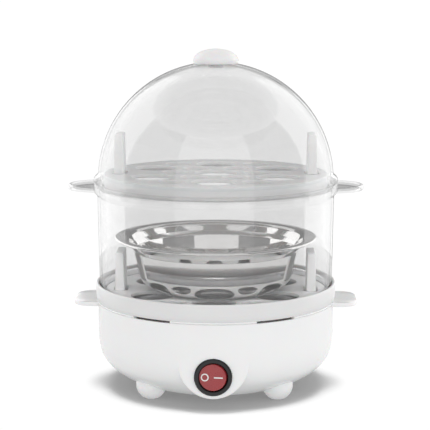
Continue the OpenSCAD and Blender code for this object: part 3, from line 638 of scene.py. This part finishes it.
def housing_outline(angle):
    reach = ear_reach(angle)
    is_ear = reach > FLANGE_R + 0.02
    top = SEAM - 1.6 if in_slot(angle) else SEAM
    edge = BODY_R if in_slot(angle) else max(reach, FLANGE_R)
    under = SEAM - 2.7 if is_ear else SEAM - 1.1
    under = min(under, top - 0.5)
    f = 0.45 if not in_slot(angle) else 0.0
    zs = [HOUSING_LOW + CURVE_H * (i / 34) ** 1.35 for i in range(1, 35)]
    out = [(44.05, HOUSING_LOW)] + [(body_at(HOUSING_LOW) - 0.3, HOUSING_LOW)]
    out += [(body_at(z), z) for z in zs] + [(BODY_R, 51), (BODY_R, under - 0.6 * (edge > BODY_R))]
    out += [(BODY_R + min(0.6, edge - BODY_R), under), (edge - f, under), (edge, under + f), (edge, top - f),
            (edge - f * 0.3, top - f * 0.3), (edge - f, top), (BODY_R - 0.6, top), (BODY_R - WALL, top - 0.05)]
    inner = [(body_at(z) - WALL, z) for z in zs[::-1] if z > HOUSING_LOW + 2.5]
    return out + inner + [(inner[-1][0] - 2.5, HOUSING_LOW + 2), (44.05, HOUSING_LOW + 2)]


notches = [math.radians(s + d) for s in SLOT_STARTS for d in (-0.02, 0.02, 19.98, 20.02)]
flare = math.asin(EAR_HALF / FLANGE_R)
notches += [q + s * (flare + d) for q in (0, math.pi, TURN) for s in (-1, 1) for d in (-0.01, 0.0, 0.002)]
housing_turns = sorted(a for a in [TURN * k / 360 + 1e-5 for k in range(360)] + notches if 0 <= a < TURN)


def tongue(half, radius, back, rounding):
    """The block that carries the switch: a U outline with a curved front and a round front edge."""
    mid, top = 32.0, 50.0 - (22.8 - half)
    loop = [(half * math.cos(a), mid + half * math.sin(a)) for a in
            [math.pi + math.pi * k / 64 for k in range(65)]]
    loop += [(half, mid + (top - mid) * k / 8) for k in range(1, 9)]
    loop += [(half - 2 * half * k / 24, top) for k in range(1, 25)]
    loop += [(-half, top - (top - mid) * k / 8) for k in range(1, 8)]
    centre = Vector((0, 31))
    rows = [[(x, -back, z) for x, z in loop]]
    steps = 5
    for k in range(steps + 1):
        a = math.pi / 2 * k / steps
        inset, drop = rounding * (1 - math.cos(a)), rounding * (1 - math.sin(a))
        ring_points = []
        for x, z in loop:
            away = Vector((x, z)) - centre
            near = centre + away * (1 - inset / away.length)
            ring_points.append((near.x, -(math.sqrt(radius ** 2 - near.x ** 2) - drop), near.y))
        rows.append(ring_points)
    for k in range(1, 12):
        share = 1 - k / 12
        row = []
        for edge_point in rows[steps + 1]:
            near = centre + (Vector((edge_point[0], edge_point[2])) - centre) * share
            row.append((near.x, -math.sqrt(radius ** 2 - near.x ** 2), near.y))
        rows.append(row)
    n = len(loop)
    verts = [v for row in rows for v in row] + [(0, -radius, centre.y)]
    faces = [[i * n + k, i * n + (k + 1) % n, (i + 1) * n + (k + 1) % n, (i + 1) * n + k]
             for i in range(len(rows) - 1) for k in range(n)]
    faces += [[(len(rows) - 1) * n + k, (len(rows) - 1) * n + (k + 1) % n, len(verts) - 1] for k in range(n)]
    faces += [list(range(n))]
    return verts, faces


def rod_y(radius, start, end, z, segments=64):
    """A cutter along Y."""
    return moved(lathe([(0, 0), (radius, 0), (radius, end - start), (0, end - start)], segments),
                 Matrix.Translation((0, start, z)) @ Matrix.Rotation(math.radians(-90), 4, "X"))


GLAND_Z = 36.0
housing = raw("base_housing_moulding", [turned(housing_outline, housing_turns)],
              FINISHES["housing_polypropylene"])
carve(housing, [tongue(22.8, BODY_R - 0.1, 58, 1.6)], "UNION")
carve(housing, [tongue(20.9, BODY_R - 2.3, 50, 0.4), rod_y(10, -85, -60, SWITCH_Z),
                rod_y(4.6, 70, 90, GLAND_Z)])
show(housing, "base", ["base_housing"], crease=28)


# --- parts that repeat round the Z axis ---

def ring_of_parts():
    """Node tree: copies of a part at even places on a circle."""
    tree = bpy.data.node_groups.new("ring of parts", "GeometryNodeTree")
    tree.interface.new_socket("Geometry", in_out="INPUT", socket_type="NodeSocketGeometry")
    for name, kind in (("Part", "Object"), ("Count", "Int"), ("Radius", "Float"), ("Turn", "Float"),
                       ("Finish", "Material")):
        tree.interface.new_socket(name, in_out="INPUT", socket_type="NodeSocket" + kind)
    tree.interface.new_socket("Geometry", in_out="OUTPUT", socket_type="NodeSocketGeometry")
    given = add(tree, "NodeGroupInput").outputs
    places = add(tree, "GeometryNodeMeshCircle", {"Vertices": given["Count"], "Radius": given["Radius"]})
    part = add(tree, "GeometryNodeObjectInfo", {"Object": given["Part"]}, transform_space="ORIGINAL")
    copies = add(tree, "GeometryNodeInstanceOnPoints", {"Points": places.outputs[0],
                                                        "Instance": part.outputs["Geometry"]})
    angle = add(tree, "ShaderNodeCombineXYZ", {"Z": given["Turn"]})
    turned_copies = add(tree, "GeometryNodeTransform", {"Geometry": copies.outputs[0],
                                                        "Rotation": angle.outputs[0]})
    real = add(tree, "GeometryNodeRealizeInstances", {"Geometry": turned_copies.outputs[0]})
    painted = add(tree, "GeometryNodeSetMaterial", {"Geometry": real.outputs[0], "Material": given["Finish"]})
    add(tree, "NodeGroupOutput", {"Geometry": painted.outputs[0]})
    return tree


PARTS_ROUND = ring_of_parts()


def repeat_round(name, parts, cutters, count, radius, turn, slot):
    """Copies of a part, with its cutters taken from it, at count even places on a circle."""
    part = raw("part", parts)
    if cutters:
        carve(part, cutters)
    made = raw(name, [])
    step = made.modifiers.new("copies", "NODES")
    step.node_group = PARTS_ROUND
    given = {"Part": part, "Count": count, "Radius": radius * MM, "Turn": math.radians(turn),
             "Finish": FINISHES[slot]}
    for item in PARTS_ROUND.interface.items_tree:
        if item.in_out == "INPUT" and item.name in given:
            step[item.identifier] = given[item.name]
    settle(made)
    bpy.data.objects.remove(part)
    return made


foot_side = [(0, 0), (4.2, 0)] + arc(0, 9, 10, -63.9, 90, 36)
foot_side[-1] = (0, 19)
feet = repeat_round("ball_feet", [lathe(foot_side, 96), lathe([(0, 12), (3, 12), (3, 13), (0, 13)], 24)],
                    [], 4, 41 * math.sqrt(2), 45, "foot_plastic")
housing_fill = [(0, HOUSING_LOW - 0.02)] + [(body_at(z) + 0.02, z) for z in
                                            [HOUSING_LOW + CURVE_H * (i / 34) ** 1.35 for i in range(35)]]
carve(feet, [lathe(housing_fill + [(BODY_R, 60), (0, 60)], 256)])
show(feet, "base",
     [f"foot_{end}_{side}" for end in ("front", "rear") for side in ("left", "right")])


def pan_screw(z, grip):
    """A pan-head screw standing on its head at z, with a cross recess to cut."""
    head = rounded([(0, z, 0), (2.8, z, 0.45), (2.8, z + 1, 0.1), (1.25, z + 1, 0), (1.25, z + 1 + grip, 0.3),
                    (0, z + 1 + grip, 0)], closed=False)
    recess = [block((2.8, 0.6, 1.2), (0, 0, z - 0.7), 0), block((0.6, 2.8, 1.2), (0, 0, z - 0.7), 0)]
    return [lathe(head, 40)], recess


for name, z, grip, count, radius, turn, node in (
        ("cover_pan_screws", HOUSING_LOW + 0.02, 6, 4, 40.5, 0, "cover_screws"),
        ("ring_pan_screws", 39, 9.1, 3, 73.8, 60, "ring_screws")):
    screws = repeat_round(name, *pan_screw(z, grip), count, radius, turn, "zinc_plated_steel")
    show(screws, "base", [node])


# --- switch ---

def facing_front(part, y, z, tilt=0.0):
    """A part lathed about Z turned to face -Y, its zero at y, tilted about the vertical."""
    return moved(part, Matrix.Translation((0, y, z)) @ Matrix.Rotation(tilt, 4, "Z")
                 @ Matrix.Rotation(math.radians(90), 4, "X"))


seat = 77.6
out_by = BEZEL_FRONT - seat
bezel = rounded([(9.15, out_by - 0.6, 0.2), (9.6, out_by, 0.35), (11.2, out_by, 0.8), (12, out_by - 0.8, 0.7),
                 (12, 0, 0.1), (9.9, 0, 0), (9.9, -13.6, 0.3), (0, -13.6, 0), (0, -9.6, 0), (9.15, -9.6, 0)],
                closed=True)
switch = raw("switch_bezel_and_body", [facing_front(lathe(bezel, 128), -seat, SWITCH_Z)],
             FINISHES["switch_black"])
show(switch, "base", ["switch_body"])

HINGE_Y = 76.2
TILT = math.radians(-7)
face = 3.2
ball = math.hypot(8.4, face)
front = math.degrees(math.asin(face / ball))
back = math.degrees(math.asin(-3.7 / ball))
rocker_side = [(0, face - 0.35), (5, face - 0.28), (7.6, face - 0.05)]
rocker_side += arc(0, 0, ball, front, back, 16) + [(0, -3.7)]
pins = block((1.9, 1.9, 19), (0, 0, -9.5), 0.4)
rocker = raw("switch_rocker_red", [
    facing_front(lathe(rocker_side, 128), -HINGE_Y, SWITCH_Z, TILT),
    moved(pins, Matrix.Translation((0, -HINGE_Y, SWITCH_Z)) @ Matrix.Rotation(TILT, 4, "Z"))],
    FINISHES["rocker_red"])
show(rocker, "rocker", ["switch_rocker"])

ring_mark = lathe(rounded([(1.75, face - 0.4, 0), (1.75, face - 0.04, 0.1), (2.5, face - 0.04, 0.1),
                           (2.5, face - 0.4, 0)]), 64)
bar_mark = block((5.6, 0.8, 0.36), (3.7, 0, face - 0.4), 0.08, steps=2)
marks = raw("rocker_marks", [
    facing_front(moved(ring_mark, Matrix.Translation((-4.9, 0, 0))), -HINGE_Y, SWITCH_Z, TILT),
    facing_front(bar_mark, -HINGE_Y, SWITCH_Z, TILT)], WHITE_INK)
show(marks, "rocker")


# --- the CAD pieces that are kept, each with its own finish ---
for part in frame["record"]["subparts"]:
    kept = frame["nodes"][part["node"]]
    if not kept.hide_render:
        finish = FINISHES[part["material_slot"]]
        if kept.material_slots:
            kept.material_slots[0].material = finish
        else:
            kept.data.materials.append(finish)


# --- floor, light and camera ---
floor_mesh = bpy.data.meshes.new("floor")
floor_mesh.from_pydata([(x, y, 0) for x, y in ((-4, -4), (4, -4), (4, 4), (-4, 4))], [], [(0, 1, 2, 3)])
floor = bpy.data.objects.new("floor", floor_mesh)
scene.collection.objects.link(floor)
paper, paper_tree, paper_out, paper_place = new_finish("studio_paper")
paper_grain = add(paper_tree, "ShaderNodeTexNoise", {"Vector": paper_place, "Scale": per(3)})
paper_tone = add(paper_tree, "ShaderNodeMix", {0: paper_grain.outputs["Fac"], 6: rgb("bebebe"), 7: rgb("bababa")},
                 data_type="RGBA")
paper_face = add(paper_tree, "ShaderNodeBsdfDiffuse", {"Color": paper_tone.outputs[2]})
# the paper turns to an even lit backdrop away from the object, past the soft shadow under it
paper_far = add(paper_tree, "ShaderNodeVectorMath", {0: paper_place}, operation="LENGTH")
paper_lift = add(paper_tree, "ShaderNodeMapRange", {"Value": paper_far.outputs["Value"], "From Min": 0.066,
                                                    "From Max": 0.092},
                 interpolation_type="SMOOTHSTEP")
paper_glow = add(paper_tree, "ShaderNodeEmission", {"Strength": 1.02})
paper_sum = add(paper_tree, "ShaderNodeMixShader", {0: paper_lift.outputs[0], 1: paper_face.outputs[0],
                                                    2: paper_glow.outputs[0]})
paper_tree.links.new(paper_sum.outputs[0], paper_out.inputs["Surface"])
floor_mesh.materials.append(paper)
floor.visible_diffuse = False

world = bpy.data.worlds.new("studio")
scene.world = world
world.use_nodes = True
sky = world.node_tree
sky.nodes.clear()
way = add(sky, "ShaderNodeSeparateXYZ", {0: add(sky, "ShaderNodeTexCoord").outputs["Generated"]}).outputs
kind = add(sky, "ShaderNodeLightPath").outputs
# soft light comes mostly from the sides, a little more from the right
height = add(sky, "ShaderNodeMapRange", {"Value": way["Z"], "To Min": 1.2, "To Max": 0.74})
lean = add(sky, "ShaderNodeMath", {0: way["X"], 1: 0.07, 2: 1.0}, operation="MULTIPLY_ADD")
sides = add(sky, "ShaderNodeMath", {0: height.outputs[0], 1: lean.outputs[0]}, operation="MULTIPLY")
below = add(sky, "ShaderNodeMapRange", {"Value": way["Z"], "From Min": -0.8, "From Max": 0.0, "To Min": 0.3,
                                        "To Max": 1.0})
soft_light = add(sky, "ShaderNodeMath", {0: sides.outputs[0], 1: below.outputs[0]}, operation="MULTIPLY")
ceiling = add(sky, "ShaderNodeMapRange", {"Value": way["Z"], "From Min": 0.7, "From Max": 0.85, "To Min": 1.1,
                                          "To Max": 0.62}, interpolation_type="SMOOTHSTEP")
mirrored = add(sky, "ShaderNodeMix", {0: kind["Is Glossy Ray"], 2: soft_light.outputs[0], 3: ceiling.outputs[0]})
level = add(sky, "ShaderNodeMix", {0: kind["Is Camera Ray"], 2: mirrored.outputs[0], 3: 1.02})
glow = add(sky, "ShaderNodeBackground", {"Color": rgb("ffffff"), "Strength": level.outputs[0]})
add(sky, "ShaderNodeOutputWorld", {"Surface": glow.outputs[0]})
world.cycles.sampling_method = "NONE"


def panel(name, start, end, low, high, radius, level):
    """A curved studio panel seen only in reflections, between two angles from the camera's side."""
    steps = 24
    turns = [math.radians(start + (end - start) * k / steps) for k in range(steps + 1)]
    verts = [(radius * math.sin(a), -radius * math.cos(a), z) for z in (low, high) for a in turns]
    faces = [(k, k + 1, k + steps + 2, k + steps + 1) for k in range(steps)]
    mesh = bpy.data.meshes.new(name)
    mesh.from_pydata(verts, [], faces)
    made, tree, out = new_finish(name)[:3]
    lit = add(tree, "ShaderNodeEmission", {"Strength": level})
    tree.links.new(lit.outputs[0], out.inputs["Surface"])
    mesh.materials.append(made)
    made = bpy.data.objects.new(name, mesh)
    scene.collection.objects.link(made)
    made.visible_camera = made.visible_diffuse = made.visible_shadow = made.visible_transmission = False


for side in (-1, 1):
    panel(f"dark_panel_{side + 1}", side * 35, side * 90, 0.0, 0.6, 0.45, 0.35)
    panel(f"light_panel_{side + 1}", side * 90, side * 158, 0.0, 0.6, 0.45, 1.8)
panel("back_panel", 158, 202, 0.0, 0.35, 0.45, 0.3)

soft = bpy.data.lights.new("overhead", "AREA")
soft.shape, soft.size, soft.energy = "DISK", 1.4, 150.0
overhead = bpy.data.objects.new("overhead", soft)
overhead.location = (0, 0, 2.5)
overhead.visible_glossy = False
scene.collection.objects.link(overhead)
on_floor = bpy.data.collections.new("floor_only")
on_floor.objects.link(floor)
overhead.light_linking.receiver_collection = on_floor

# a front fill for the parts that stand behind the clear walls
fill_lamp = bpy.data.lights.new("inner_fill", "AREA")
fill_lamp.shape, fill_lamp.size, fill_lamp.energy = "DISK", 0.8, 9.5
fill = bpy.data.objects.new("inner_fill", fill_lamp)
fill.location = (0, -1.1, 1.0)
fill.rotation_euler = (math.radians(48), 0, 0)
scene.collection.objects.link(fill)
behind_glass = bpy.data.collections.new("behind_glass")
for piece in scene.objects:
    if piece.name.startswith(("lower_tray", "lower_lift", "heating_dish")):
        behind_glass.objects.link(piece)
fill.light_linking.receiver_collection = behind_glass

DISTANCE, EYE, SWING, PITCH = 0.9759, 0.268, math.radians(1.23), math.radians(8.975)
lens = bpy.data.cameras.new("camera")
lens.lens, lens.sensor_width = 124.05, 36
camera = bpy.data.objects.new("camera", lens)
nudge = -0.0005
camera.location = (DISTANCE * math.sin(SWING) + nudge * math.cos(SWING),
                   -DISTANCE * math.cos(SWING) + nudge * math.sin(SWING), EYE)
camera.rotation_euler = (math.radians(90) - PITCH, 0, SWING)
scene.collection.objects.link(camera)
scene.camera = camera
scene.view_settings.view_transform = "Standard"
scene.cycles.transparent_max_bounces = 24
